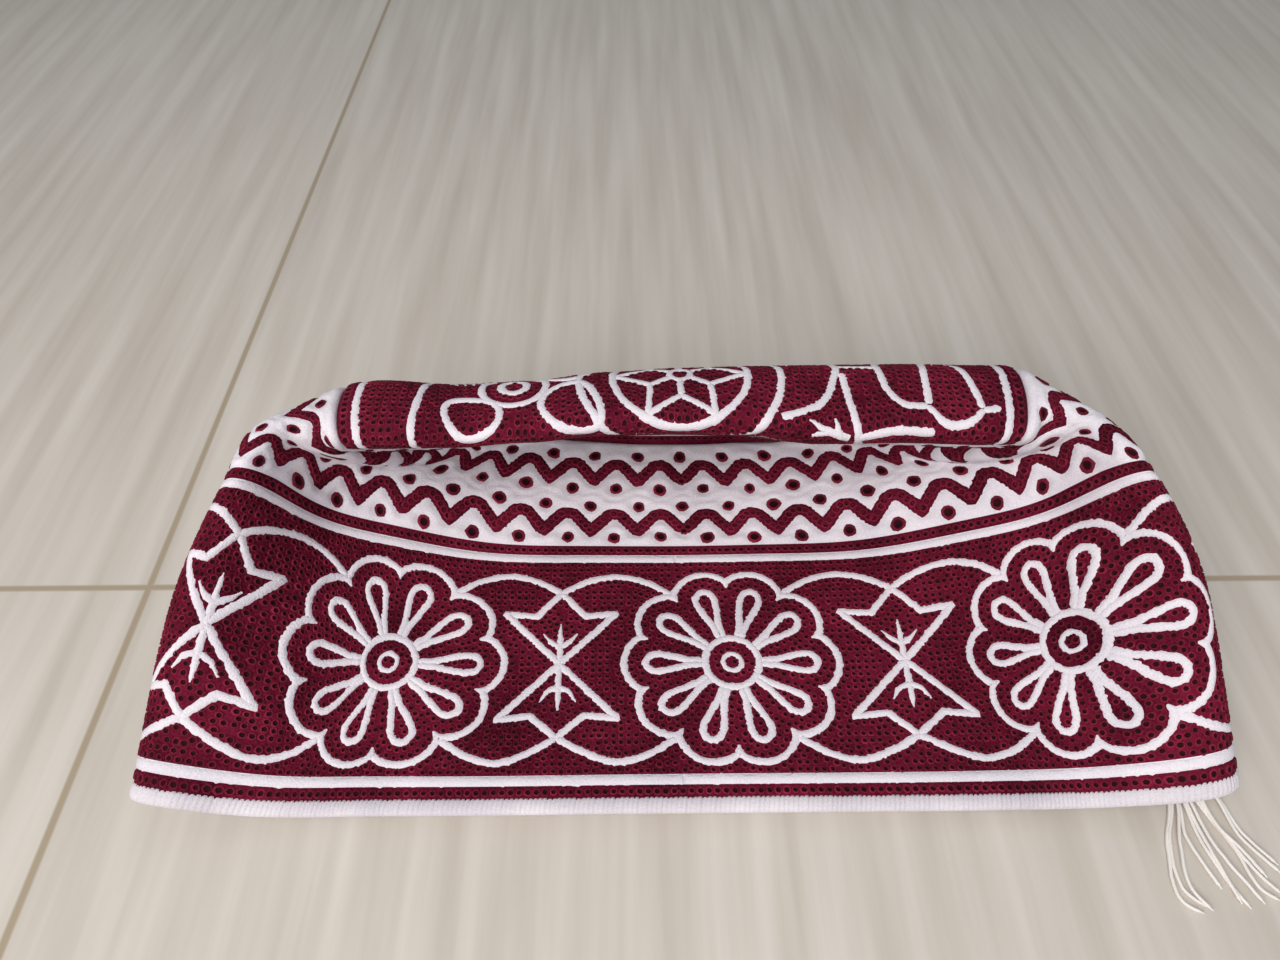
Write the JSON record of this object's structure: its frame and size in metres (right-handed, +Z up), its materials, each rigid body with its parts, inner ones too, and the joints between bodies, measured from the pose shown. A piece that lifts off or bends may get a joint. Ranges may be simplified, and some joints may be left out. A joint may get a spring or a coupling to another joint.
{
  "type": "kumma cap",
  "caption": "Round brimless cap of stitched cloth with embroidered daisies and bands, lying flattened on its back wall with the crown disc folded over.",
  "frame": {"origin": "middle of the bounding box's underside, on the surface that the cap lies on", "axes": "+X to the right along the flattened rim, +Y from the rim towards the folded crown, +Z up from the surface"},
  "size_m": [0.2816, 0.1484, 0.0694],
  "materials": {
    "side_wall": "matte embroidered cotton",
    "rim_binding": "matte overcast cotton thread",
    "crown_top": "matte embroidered cotton",
    "loose_threads": "matte cotton thread"
  },
  "bodies": {
    "root": {"side_wall": "side_wall", "rim_binding": "rim_binding", "crown_top": "crown_top", "loose_threads": "loose_threads"}
  },
  "joints": []
}
